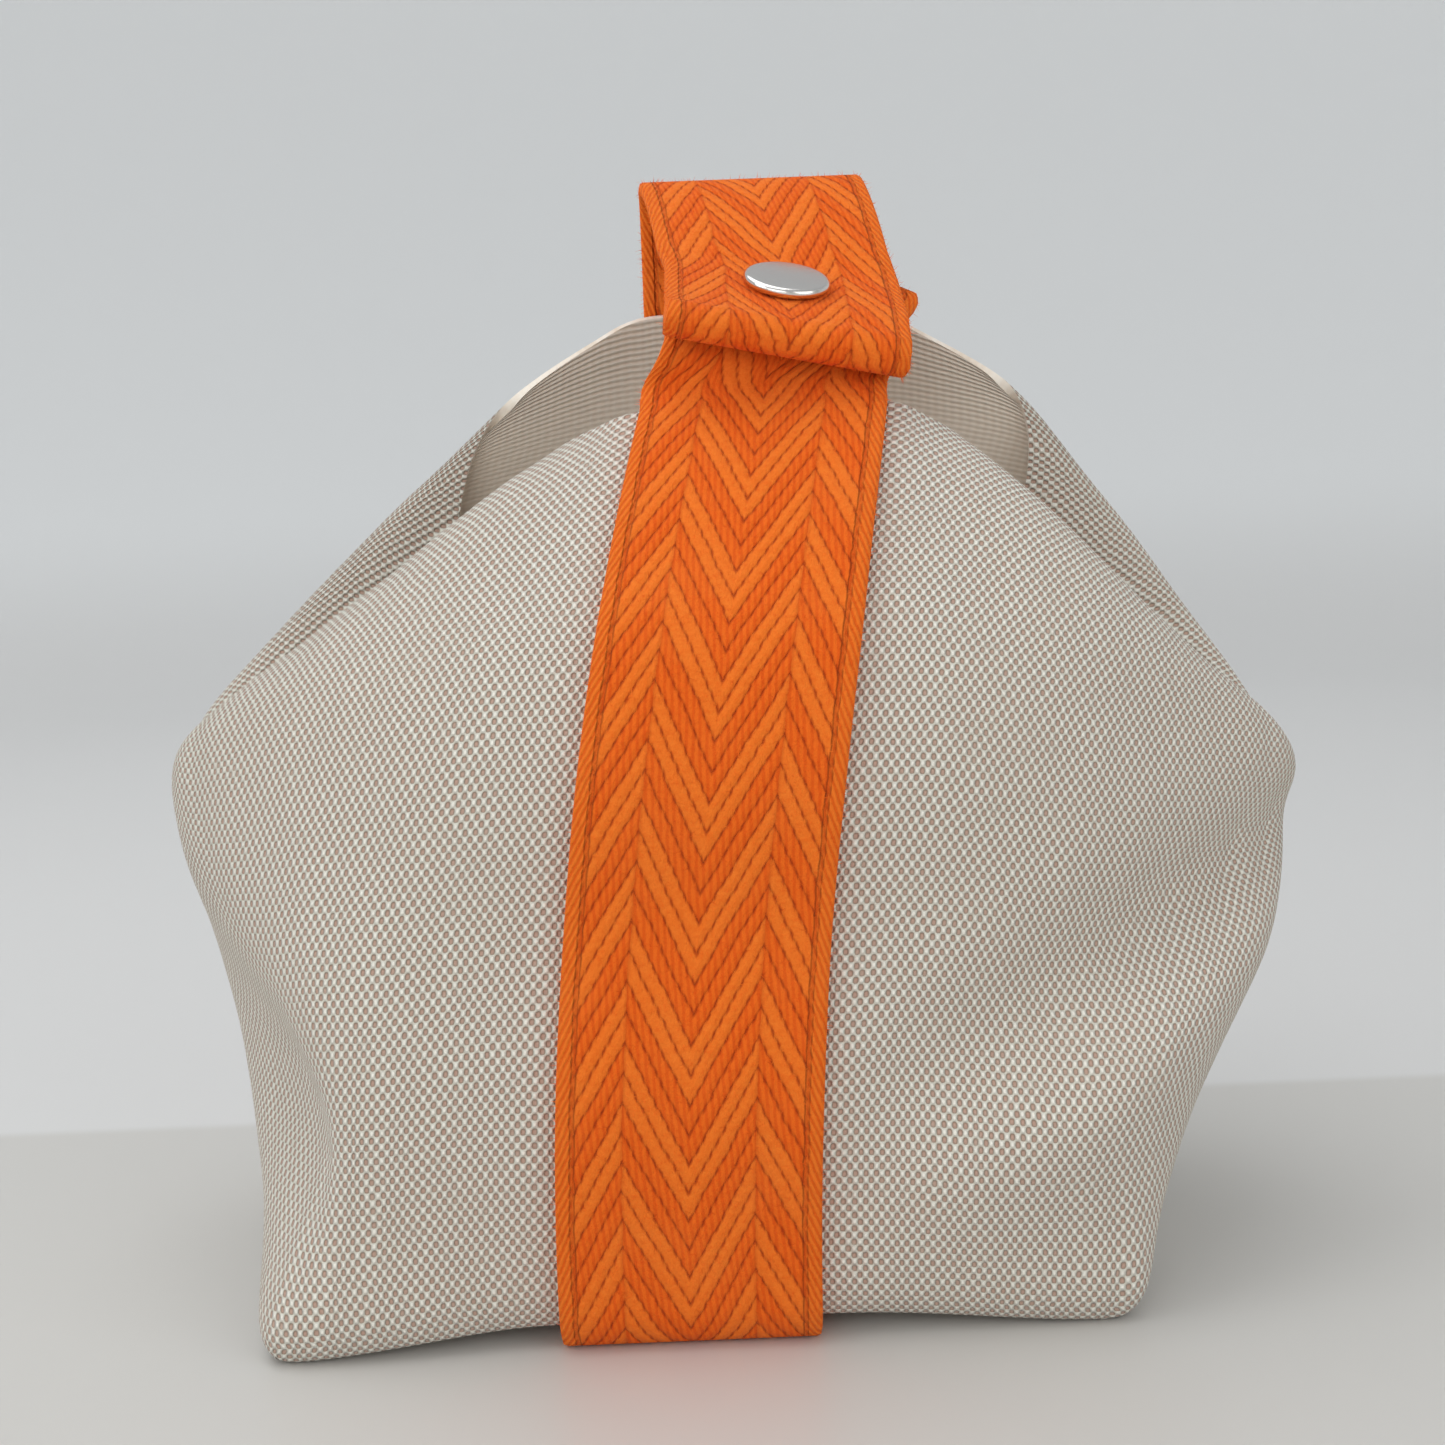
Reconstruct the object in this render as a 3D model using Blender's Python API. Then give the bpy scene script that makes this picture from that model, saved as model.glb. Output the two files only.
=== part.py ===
"""A soft travel case: a canvas bag on an oblong base, with one webbing strap that runs down the
front, under the base and up the back, and whose two ends close over the mouth with a press snap
to make the handle. +X is the case's right seen from the front, +Y its back and +Z up. The origin
is on the floor, under the middle of the base."""

import math
from collections import namedtuple

import bpy
from mathutils import Matrix, Vector

# The bag, in metres
BASE_WIDTH = 0.152
BASE_DEPTH = 0.108
BODY_WIDTH = 0.211  # across the two shoulders
FRONT_HEIGHT = 0.160  # floor to the front lip
BACK_HEIGHT = 0.180  # floor to the back lip
CANVAS = 0.0018
LEAN = 0.0195  # how far the front lip has slumped to the right
LEAN_POWER = 2.0

# The strap
STRAP_WIDTH = 0.045
STRAP_THICK = 0.0030
STRAP_CHAMFER = 0.0006
SEAT_GAP = 0.0003  # between pieces that lie on each other
CANVAS_MARGIN = 0.002  # flat canvas beside the strap

# The handle, made by the strap's two ends
SNAP_RISE = 0.0189  # from the front lip up to the outer layer at the snap
SNAP_BACK = 0.0100  # from the front lip back to it
SNAP_SLOPE = math.radians(24)  # how steeply the two layers rise to the back at the snap
FLAP_DROOP = math.radians(9)  # how much steeper the flap hangs at its end
CREST_SLOPE = math.radians(44)  # how steeply the outer layer climbs to the crest
FLAP_END = 0.0205  # from the snap's middle to each layer's end
INNER_END = 0.018
HEM = 0.007  # the turned-in end, twice the webbing's thickness
CREST_BACK = 0.0150  # from the snap to the start of the crest
CREST_RISE = 0.0094
CREST_ROUND = 0.031
APEX_ROUND = 0.007
HANDLE_TWIST = math.radians(14)  # the flap's right edge droops, most at its end
SNAP_TWIST = 0.6  # the share of that twist at the snap
HANDLE_DRIFT = 0.0050  # and it lies further to the right there
INNER_SKEW = 0.0062  # the inner end runs on to the right, past the outer layer's edge
INNER_LIFT = 0.0016  # and turns up a little

# The press snap
CAP_RADIUS = 0.0081
CAP_THICK = 0.0019
SHANK_RADIUS = 0.0022
SOCKET_RADIUS = 0.0052
SOCKET_THICK = 0.0016
STUD_RADIUS = 0.0013
FLANGE_RADIUS = 0.0045
FLANGE_THICK = 0.0010
LAYER_GAP = SOCKET_THICK + FLANGE_THICK + 3 * SEAT_GAP

# How finely the shapes are cut
LEVELS = 32
FOLD_STEPS = 6
SEAM_STEPS = 5
STRAP_STEPS = 2
BASE_RINGS = 4
SOFTEN_PASSES = 2
BEND_STEPS = 14
SNAP_SIDES = 32

# Each row is one section of the bag, at a share of the way up its wall. Along a section lie the
# middle of the front, the front fold, the side seam, the back fold and the middle of the back.
# x is a share of half the shoulders' width, y a share of half the base's depth and z a share of
# the front lip's height, or of the back lip's for the back's middle and its fold. round is how
# softly the section turns at its folds.
Section = namedtuple(
    "Section",
    "up front_y front_z fold_x fold_y fold_z seam_x seam_y seam_z back_fold_x back_fold_y "
    "back_fold_z back_y back_z round",
)
SECTIONS = [
    Section(0.00, -0.95, 0.000, 0.695, -0.94, 0.000, 0.700, 0.00, 0.000, 0.695, 0.94, 0.000, 0.95, 0.000, 0.10),
    Section(0.02, -1.00, 0.020, 0.720, -0.99, 0.020, 0.728, 0.00, 0.020, 0.720, 0.99, 0.018, 1.00, 0.018, 0.12),
    Section(0.12, -1.03, 0.136, 0.715, -0.95, 0.136, 0.775, 0.00, 0.136, 0.715, 0.95, 0.122, 1.04, 0.122, 0.30),
    Section(0.25, -1.04, 0.284, 0.700, -0.86, 0.278, 0.850, 0.00, 0.278, 0.710, 0.88, 0.249, 1.06, 0.254, 0.55),
    Section(0.40, -0.97, 0.455, 0.740, -0.72, 0.443, 0.935, 0.00, 0.437, 0.760, 0.76, 0.396, 1.06, 0.406, 0.80),
    Section(0.52, -0.96, 0.591, 0.810, -0.58, 0.570, 0.985, 0.00, 0.530, 0.850, 0.64, 0.500, 1.02, 0.533, 0.95),
    Section(0.60, -0.91, 0.676, 0.860, -0.48, 0.645, 1.000, 0.00, 0.585, 0.910, 0.54, 0.565, 0.99, 0.614, 1.00),
    Section(0.68, -0.82, 0.758, 0.850, -0.42, 0.700, 0.950, 0.02, 0.615, 0.910, 0.49, 0.630, 0.94, 0.695, 1.00),
    Section(0.78, -0.63, 0.852, 0.730, -0.36, 0.772, 0.800, 0.06, 0.600, 0.820, 0.48, 0.720, 0.86, 0.797, 0.95),
    Section(0.89, -0.42, 0.935, 0.570, -0.27, 0.848, 0.620, 0.11, 0.560, 0.700, 0.50, 0.785, 0.75, 0.904, 0.70),
    Section(1.00, -0.20, 1.000, 0.420, -0.14, 0.905, 0.450, 0.16, 0.515, 0.560, 0.54, 0.850, 0.63, 1.000, 0.45),
]

# Each row is one swelling or dent: which side it is on, where its middle is (share of the way up
# and place along the section, 0 at the strap, 1 at the front fold, 2 at the side seam, 4 at the
# back of the strap), how far it spreads each way, how far its middle climbs from one place to the
# next, and how far it moves the canvas sideways (outwards), forwards and upwards.
Dent = namedtuple("Dent", "side up place up_spread place_spread slant outwards forwards upwards")
DENTS = [
    Dent(-1, 0.62, 2.00, 0.20, 1.20, 0.00, -0.0070, 0.0000, 0.0000),
    Dent(-1, 0.22, 1.10, 0.12, 0.32, 0.25, -0.0150, -0.0030, 0.0000),
    Dent(-1, 0.28, 1.55, 0.12, 0.40, 0.30, -0.0020, -0.0070, 0.0000),
    Dent(-1, 0.26, 0.75, 0.14, 0.35, 0.00, 0.0000, 0.0030, 0.0000),
    Dent(-1, 0.00, 1.00, 0.12, 0.90, 0.00, -0.0010, 0.0045, 0.0000),
    Dent(+1, 0.62, 2.00, 0.16, 1.20, 0.00, 0.0020, 0.0000, -0.0090),
    Dent(+1, 0.30, 1.75, 0.24, 0.90, 0.00, 0.0150, 0.0000, 0.0000),
    Dent(+1, 0.39, 1.00, 0.05, 0.80, 0.22, 0.0000, -0.0140, 0.0000),
    Dent(+1, 0.27, 1.05, 0.07, 0.75, 0.16, 0.0000, 0.0090, 0.0000),
]

# Each row is one ring of the snap's cap or stud: its radius and its height over the middle of
# the outer layer's webbing.
Ring = namedtuple("Ring", "radius height")


def smooth(share):
    """0 to 1 with level ends."""
    share = min(1.0, max(0.0, share))
    return share * share * (3 - 2 * share)


def hermite(start, end, start_slope, end_slope, share):
    """A point on the cubic between two points with those slopes."""
    s2, s3 = share * share, share**3
    return (
        start * (2 * s3 - 3 * s2 + 1)
        + start_slope * (s3 - 2 * s2 + share)
        + end * (3 * s2 - 2 * s3)
        + end_slope * (s3 - s2)
    )


def section_at(up):
    """The section at a share of the way up, on a smooth curve through the table's rows."""
    rows = SECTIONS
    i = next(k for k in range(1, len(rows)) if up <= rows[k].up + 1e-9)

    def slope(k, column):
        low, high = max(0, k - 1), min(len(rows) - 1, k + 1)
        return (rows[high][column] - rows[low][column]) / (rows[high].up - rows[low].up)

    step = rows[i].up - rows[i - 1].up
    share = (up - rows[i - 1].up) / step
    return Section(*(
        hermite(rows[i - 1][c], rows[i][c], slope(i - 1, c) * step, slope(i, c) * step, share)
        for c in range(len(Section._fields))
    ))


def lean(z):
    """How far the bag has slumped to the right at this height."""
    return LEAN * min(1.0, max(0.0, z) / FRONT_HEIGHT) ** LEAN_POWER


def base_lift(x, z):
    """How far the strap under the base props the canvas up, fading out to the corners."""
    out = (abs(x) - STRAP_WIDTH * 0.62) / (BASE_WIDTH * 0.5 - STRAP_WIDTH * 0.62)
    return (STRAP_THICK + SEAT_GAP) * (1 - smooth(out)) * (1 - smooth(z / (BASE_DEPTH * 0.35)))


def front_middle(up):
    row = section_at(up)
    return Vector((0, row.front_y * BASE_DEPTH / 2, row.front_z * FRONT_HEIGHT))


def back_middle(up):
    row = section_at(up)
    return Vector((0, row.back_y * BASE_DEPTH / 2, row.back_z * BACK_HEIGHT))


def dented(point, side, up, place):
    """A point of the right or left half moved by the swellings and dents of that side."""
    sideways, forwards, upwards = 0.0, 0.0, 0.0
    for dent in DENTS:
        if dent.side == side:
            from_up = (up - dent.up - dent.slant * (place - dent.place)) / dent.up_spread
            from_place = (place - dent.place) / dent.place_spread
            weight = math.exp(-from_up * from_up - from_place * from_place) * smooth(place / 0.4)
            sideways += dent.outwards * weight
            forwards += dent.forwards * weight
            upwards += dent.upwards * weight
    return Vector((side * (point.x + sideways), point.y - forwards, point.z + upwards))


def half_section(up, side, is_back):
    """The points of a section from the middle of the front or back to the seam on one side."""
    row = section_at(up)
    half_width, half_depth = BODY_WIDTH / 2, BASE_DEPTH / 2
    seam = Vector((row.seam_x * half_width, row.seam_y * half_depth, row.seam_z * FRONT_HEIGHT))
    if is_back:
        middle, facing = back_middle(up), -1
        fold = Vector((row.back_fold_x * half_width, row.back_fold_y * half_depth, row.back_fold_z * BACK_HEIGHT))
    else:
        middle, facing = front_middle(up), 1
        fold = Vector((row.fold_x * half_width, row.fold_y * half_depth, row.fold_z * FRONT_HEIGHT))
    flat = STRAP_WIDTH / 2 + CANVAS_MARGIN
    edge = middle + Vector((flat, 0, 0))
    turn = (seam - edge) * row.round
    out = (Vector((1, 0, 0)) * (fold - edge).length).lerp(fold - edge, smooth(up * 2 - 1))
    inward = Vector((0, 1, 0)) * (seam - fold).length * facing
    placed_points = [(middle + Vector((flat * k / STRAP_STEPS, 0, 0)), 0.0) for k in range(STRAP_STEPS)]
    placed_points += [(hermite(edge, fold, out, turn, k / FOLD_STEPS), k / FOLD_STEPS) for k in range(FOLD_STEPS)]
    placed_points += [
        (hermite(fold, seam, turn, inward, k / SEAM_STEPS), 1 + k / SEAM_STEPS) for k in range(SEAM_STEPS + 1)
    ]
    return [slumped(dented(p, side, up, 4 - place if is_back else place)) for p, place in placed_points]


def slumped(point):
    """A point of the upright bag moved to where the slumped bag has it."""
    lifted = point.z + base_lift(point.x, point.z)
    return Vector((point.x + lean(lifted), point.y, lifted))


def whole_section(up):
    """The closed ring of points of one section, from the front's middle round by the right."""
    front_right, back_right = half_section(up, 1, False), half_section(up, 1, True)
    front_left, back_left = half_section(up, -1, False), half_section(up, -1, True)
    return front_right + back_right[-2::-1] + back_left[1:] + front_left[-2:0:-1]


def softened(rings):
    """The wall's sections with their sharp turns eased, but for the base's edge and under the strap."""
    half = STRAP_STEPS + FOLD_STEPS + SEAM_STEPS + 1
    order = list(range(half)) + list(range(half - 2, -1, -1)) + list(range(1, half)) + list(range(half - 2, 0, -1))
    size = len(order)
    for _ in range(SOFTEN_PASSES):
        eased = [list(ring) for ring in rings]
        for r in range(3, len(rings)):
            for i in range(size):
                if order[i] > STRAP_STEPS:
                    near = [rings[r][i - 1], rings[r][(i + 1) % size]]
                    if r + 1 < len(rings):
                        near += [rings[r - 1][i], rings[r + 1][i]]
                    middle = sum(near, Vector()) / len(near)
                    eased[r][i] = rings[r][i].lerp(middle, 0.5)
        rings = eased
    return rings


def base_ring(edge, share):
    """The base's underside, as the lowest section drawn in towards the middle."""
    return [Vector((p.x * share, p.y * share, base_lift(p.x * share, 0))) for p in edge]


def give_material(body, colour, roughness, metallic=0.0):
    """One material of the piece's own."""
    material = bpy.data.materials.new(body.name)
    material.use_nodes = True
    shader = material.node_tree.nodes["Principled BSDF"]
    shader.inputs["Base Color"].default_value = (*colour, 1)
    shader.inputs["Roughness"].default_value = roughness
    shader.inputs["Metallic"].default_value = metallic
    body.data.materials.append(material)


def mesh_object(name, points, faces):
    """A named object of those points and faces."""
    mesh = bpy.data.meshes.new(name)
    mesh.from_pydata([tuple(p) for p in points], [], faces)
    body = bpy.data.objects.new(name, mesh)
    bpy.context.scene.collection.objects.link(body)
    return body


def ring_faces(rings, size):
    """Quads between one ring of points and the next."""
    return [
        (r * size + i, r * size + (i + 1) % size, (r + 1) * size + (i + 1) % size, (r + 1) * size + i)
        for r in range(rings - 1)
        for i in range(size)
    ]


def wall_levels():
    """The shares of the way up at which the bag's wall is cut into sections."""
    return [0.0] + [SECTIONS[1].up + (1 - SECTIONS[1].up) * k / LEVELS for k in range(LEVELS + 1)]


def make_bag():
    """The canvas bag: one skin from the middle of the base up to the mouth, then given its wall."""
    edge = whole_section(0)
    rings = [base_ring(edge, k / BASE_RINGS) for k in range(1, BASE_RINGS)]
    rings += softened([whole_section(up) for up in wall_levels()])
    size = len(edge)
    points = [p for ring in rings for p in ring] + [Vector((0, 0, base_lift(0, 0)))]
    faces = ring_faces(len(rings), size)
    faces += [((i + 1) % size, i, len(points) - 1) for i in range(size)]
    bag = mesh_object("canvas_bag", points, faces)
    give_material(bag, (0.74, 0.70, 0.64), 0.9)
    wall = bag.modifiers.new("wall", "SOLIDIFY")
    wall.thickness = CANVAS
    wall.offset = -1
    bag.data.shade_smooth()


def slope_of(angle):
    """The direction that rises to the back at this angle."""
    return Vector((0, math.cos(angle), math.sin(angle)))


def moved_out(line, distance):
    """A line in the YZ plane moved to its left by a distance, its corners mitred."""
    moved = []
    for i, point in enumerate(line):
        before = (point - line[i - 1]).normalized() if i else None
        after = (line[i + 1] - point).normalized() if i < len(line) - 1 else None
        before, after = before or after, after or before
        run = (before + after).normalized()
        square = Vector((0, -run.z, run.y))
        moved.append(point + square * distance / max(0.5, run.dot(after)))
    return moved


def bezier(start, start_handle, end_handle, end, steps):
    """Points along a cubic bend, without its two ends."""
    points = []
    for k in range(1, steps):
        s = k / steps
        points.append(
            start * (1 - s) ** 3
            + start_handle * 3 * s * (1 - s) ** 2
            + end_handle * 3 * s * s * (1 - s)
            + end * s**3
        )
    return points


# One station of the strap: its middle, its sideways drift, how much of the handle's twist it has,
# and how far its upper and lower faces are from the middle line.
Station = namedtuple("Station", "middle drift twist over under")


def flap_point(snap, reach):
    """A point of the flap's middle line, this far in front of the snap: straight past the snap's
    own width, then bending down to the flap's end."""
    flat = SHANK_RADIUS * 3
    point = snap - slope_of(SNAP_SLOPE) * min(reach, flat)
    if reach > flat:
        bend = FLAP_DROOP / (FLAP_END - flat)
        end = SNAP_SLOPE + bend * (reach - flat)
        point.y -= (math.sin(end) - math.sin(SNAP_SLOPE)) / bend
        point.z -= (math.cos(SNAP_SLOPE) - math.cos(end)) / bend
    return point


def strap_stations():
    """The strap from the flap's end, over the crest, down the back, under the base and up the
    front to the inner end. Also the middle of the outer layer where the snap goes through it."""
    levels = wall_levels()
    profile = [back_middle(up) for up in reversed(levels)]
    profile += [Vector((0, profile[-1].y * (1 - k / 4), 0)) for k in range(1, 8)]
    profile += [front_middle(up) for up in levels]
    profile = [p + Vector((0, 0, base_lift(0, p.z))) for p in profile]
    wrap = moved_out(profile, SEAT_GAP + STRAP_THICK / 2)
    half = STRAP_THICK / 2
    slope = slope_of(SNAP_SLOPE)
    above = Vector((0, -slope.z, slope.y))
    snap = wrap[-1] + Vector((0, SNAP_BACK, SNAP_RISE))
    inner_snap = snap - above * (STRAP_THICK + LAYER_GAP)
    flat = SHANK_RADIUS * 3

    flap = [
        (FLAP_END, 0.0, 2.0), (FLAP_END - half * 0.3, 0.9, 2.9), (FLAP_END - half, 1.3, 3.3),
        (FLAP_END - HEM * 0.5, 1.4, 3.4), (FLAP_END - HEM * 0.8, 1.15, 3.3), (FLAP_END - HEM, 1, 2.9),
        (FLAP_END - HEM - half / 4, 1, 1), (flat * 1.4, 1, 1),
    ]
    stations = []
    for reach, over, under in flap:
        twist = SNAP_TWIST + (1 - SNAP_TWIST) * smooth((reach - flat) / (FLAP_END - flat))
        stations.append(Station(flap_point(snap, reach), HANDLE_DRIFT, twist, half * over, half * under))
    stations += [Station(snap + slope * reach, HANDLE_DRIFT, SNAP_TWIST, half, half) for reach in (-flat, 0, flat)]
    climb = slope_of(CREST_SLOPE)
    crest = snap + Vector((0, CREST_BACK, CREST_RISE))
    bend = (crest - stations[-1].middle).length * 0.4
    rise = Vector((0, CREST_ROUND * 0.29, CREST_ROUND * 0.98))
    over = bezier(stations[-1].middle, stations[-1].middle + slope * bend, crest - climb * bend, crest, 4)
    over += [crest] + bezier(crest, crest + climb * CREST_ROUND, wrap[0] + rise, wrap[0], BEND_STEPS)
    for k, point in enumerate(over, 1):
        left = 1 - smooth(k / (BEND_STEPS / 2 + 4))
        stations.append(Station(point, HANDLE_DRIFT * left, SNAP_TWIST * left, half, half))
    stations += [Station(p, 0, 0, half, half) for p in wrap]
    leave = (wrap[-1] - wrap[-2]).normalized()
    start = inner_snap - slope * flat
    apex = bezier(wrap[-1], wrap[-1] + leave * APEX_ROUND, start - slope * APEX_ROUND, start, 6)
    for k, point in enumerate(apex, 1):
        gone = smooth(k / 6)
        stations.append(Station(point, HANDLE_DRIFT * gone, SNAP_TWIST * gone, half, half))
    for reach in (-flat, 0, flat):
        stations.append(Station(inner_snap + slope * reach, HANDLE_DRIFT, SNAP_TWIST, half, half))
    inner_end = inner_snap + slope * INNER_END + above * INNER_LIFT
    stations.append(Station(inner_end, HANDLE_DRIFT + INNER_SKEW, SNAP_TWIST, half, half))
    return stations, snap


def strap_place(station, run):
    """Where a station's middle really lies, its width direction and its outward direction."""
    middle = station.middle + Vector((lean(station.middle.z) + station.drift, 0, 0))
    turn = Matrix.Rotation(HANDLE_TWIST * station.twist, 3, run)
    across = turn @ Vector((1, 0, 0))
    return middle, across, across.cross(run)


def make_strap(stations):
    """The webbing: one ribbon with chamfered edges, with the flap's end turned in under it."""
    points = []
    for i, station in enumerate(stations):
        run = (stations[min(len(stations) - 1, i + 1)].middle - stations[max(0, i - 1)].middle).normalized()
        middle, across, outward = strap_place(station, run)
        half, cut = STRAP_WIDTH / 2, STRAP_CHAMFER
        over, under = station.over, station.under
        corners = [(half, over - cut), (half - cut, over), (cut - half, over), (-half, over - cut)]
        corners += [(-half, cut - under), (cut - half, -under), (half - cut, -under), (half, cut - under)]
        points += [middle + across * x + outward * y for x, y in corners]
    faces = ring_faces(len(stations), 8)
    faces += [tuple(range(7, -1, -1)), tuple(len(points) - 8 + k for k in range(8))]
    strap = mesh_object("strap", points, faces)
    give_material(strap, (0.80, 0.20, 0.04), 0.85)
    return strap


def turned(name, rows, place, sides=SNAP_SIDES):
    """A round piece from its rings, from the first one on the axis to the last one on it."""
    points = [place @ Vector((0, 0, rows[0].height)), place @ Vector((0, 0, rows[-1].height))]
    for row in rows[1:-1]:
        for k in range(sides):
            angle = 2 * math.pi * k / sides
            points.append(place @ Vector((row.radius * math.cos(angle), row.radius * math.sin(angle), row.height)))
    inner = len(rows) - 2
    faces = [
        tuple(2 + r * sides + k for r, k in ((r, i), (r + 1, i), (r + 1, (i + 1) % sides), (r, (i + 1) % sides)))
        for r in range(inner - 1)
        for i in range(sides)
    ]
    last = 2 + (inner - 1) * sides
    faces += [(0, 2 + i, 2 + (i + 1) % sides) for i in range(sides)]
    faces += [(1, last + (i + 1) % sides, last + i) for i in range(sides)]
    piece = mesh_object(name, points, faces)
    piece.data.shade_smooth()
    piece.data.set_sharp_from_angle(angle=math.radians(35))
    return piece


def cut_hole(strap, name, radius, low, high, place):
    """A round hole through one layer of the strap, along the snap's axis."""
    rows = [Ring(0, high), Ring(radius, high), Ring(radius, low), Ring(0, low)]
    cutter = turned(name, rows, place)
    cutter.hide_render = True
    cutter.display_type = "WIRE"
    cut = strap.modifiers.new(name, "BOOLEAN")
    cut.operation = "DIFFERENCE"
    cut.solver = "EXACT"
    cut.object = cutter


def make_snap(place):
    """The press snap: the cap with its socket on the outer layer, the stud on the inner one."""
    half = STRAP_THICK / 2
    cap_low = half + SEAT_GAP
    cap_high = cap_low + CAP_THICK
    socket_high = -half - SEAT_GAP
    socket_low = socket_high - SOCKET_THICK
    recess = socket_high + half * 0.8
    cap = turned("snap_cap", [
        Ring(0, cap_high),
        Ring(CAP_RADIUS * 0.84, cap_high - CAP_THICK * 0.10),
        Ring(CAP_RADIUS * 0.93, cap_high - CAP_THICK * 0.28),
        Ring(CAP_RADIUS * 0.99, cap_high - CAP_THICK * 0.60),
        Ring(CAP_RADIUS, cap_low + CAP_THICK * 0.12),
        Ring(CAP_RADIUS * 0.97, cap_low),
        Ring(SHANK_RADIUS, cap_low),
        Ring(SHANK_RADIUS, socket_high),
        Ring(SOCKET_RADIUS, socket_high),
        Ring(SOCKET_RADIUS, socket_low),
        Ring(STUD_RADIUS + SEAT_GAP, socket_low),
        Ring(STUD_RADIUS + SEAT_GAP, recess),
        Ring(0, recess),
    ], place)
    give_material(cap, (0.72, 0.71, 0.70), 0.15, 1.0)
    inner = -STRAP_THICK - LAYER_GAP
    flange_low = inner + half + SEAT_GAP
    plate_high = inner - half - SEAT_GAP
    stud = turned("snap_stud", [
        Ring(0, recess - SEAT_GAP),
        Ring(STUD_RADIUS, recess - SEAT_GAP),
        Ring(STUD_RADIUS, flange_low + FLANGE_THICK),
        Ring(FLANGE_RADIUS, flange_low + FLANGE_THICK),
        Ring(FLANGE_RADIUS, flange_low),
        Ring(SHANK_RADIUS, flange_low),
        Ring(SHANK_RADIUS, plate_high),
        Ring(FLANGE_RADIUS, plate_high),
        Ring(FLANGE_RADIUS, plate_high - FLANGE_THICK),
        Ring(0, plate_high - FLANGE_THICK),
    ], place)
    give_material(stud, (0.72, 0.71, 0.70), 0.25, 1.0)


def main():
    for old in list(bpy.data.objects):
        bpy.data.objects.remove(old)
    make_bag()
    stations, snap = strap_stations()
    strap = make_strap(stations)
    middle, across, outward = strap_place(Station(snap, HANDLE_DRIFT, SNAP_TWIST, 0, 0), slope_of(SNAP_SLOPE))
    place = Matrix.Translation(middle) @ Matrix((across, outward.cross(across), outward)).transposed().to_4x4()
    hole = SHANK_RADIUS + SEAT_GAP
    inner = -STRAP_THICK - LAYER_GAP
    cut_hole(strap, "outer_hole", hole, -STRAP_THICK, STRAP_THICK, place)
    cut_hole(strap, "inner_hole", hole, inner - STRAP_THICK, inner + STRAP_THICK * 0.8, place)
    make_snap(place)


main()
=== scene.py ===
"""The looks of the soft travel case: a two-tone canvas bag with a broad orange webbing strap,
whose two ends close over the mouth with a press snap. Each section makes one piece."""

import math
import random
from collections import namedtuple

import bpy
from mathutils import Matrix, Vector, noise


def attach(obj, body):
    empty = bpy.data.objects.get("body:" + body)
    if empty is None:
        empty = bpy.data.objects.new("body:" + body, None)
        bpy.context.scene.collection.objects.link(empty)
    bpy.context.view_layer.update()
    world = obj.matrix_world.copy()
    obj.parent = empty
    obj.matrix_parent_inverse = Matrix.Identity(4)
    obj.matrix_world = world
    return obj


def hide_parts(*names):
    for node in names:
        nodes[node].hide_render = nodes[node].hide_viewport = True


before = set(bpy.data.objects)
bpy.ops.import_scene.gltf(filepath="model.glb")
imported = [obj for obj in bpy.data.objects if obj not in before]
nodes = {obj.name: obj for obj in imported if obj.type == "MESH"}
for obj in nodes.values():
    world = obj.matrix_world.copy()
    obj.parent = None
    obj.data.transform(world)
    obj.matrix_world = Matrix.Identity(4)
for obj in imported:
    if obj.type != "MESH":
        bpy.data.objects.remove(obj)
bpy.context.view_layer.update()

# Canvas bag. The real one is two panels of thick two-tone canvas, sewn down the sides and boxed
# at the base, slumped and standing open under the handle. It is a shell lofted through the
# solid's own sections, subdivided, creased a little and given its wall and its rounded lip.

BASE_WIDTH = 0.152
BASE_DEPTH = 0.108
BODY_WIDTH = 0.211  # across the two shoulders
FRONT_HEIGHT = 0.160  # floor to the front lip
BACK_HEIGHT = 0.180  # floor to the back lip
CANVAS = 0.0018
LEAN = 0.0195  # how far the front lip has slumped to the right
LEAN_POWER = 2.0
STRAP_WIDTH = 0.045
STRAP_THICK = 0.0030
SEAT_GAP = 0.0003  # between pieces that lie on each other
CANVAS_MARGIN = 0.002  # flat canvas beside the strap
LEVELS = 32
FOLD_STEPS = 6
SEAM_STEPS = 5
STRAP_STEPS = 2
BASE_RINGS = 4
SOFTEN_PASSES = 2

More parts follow.
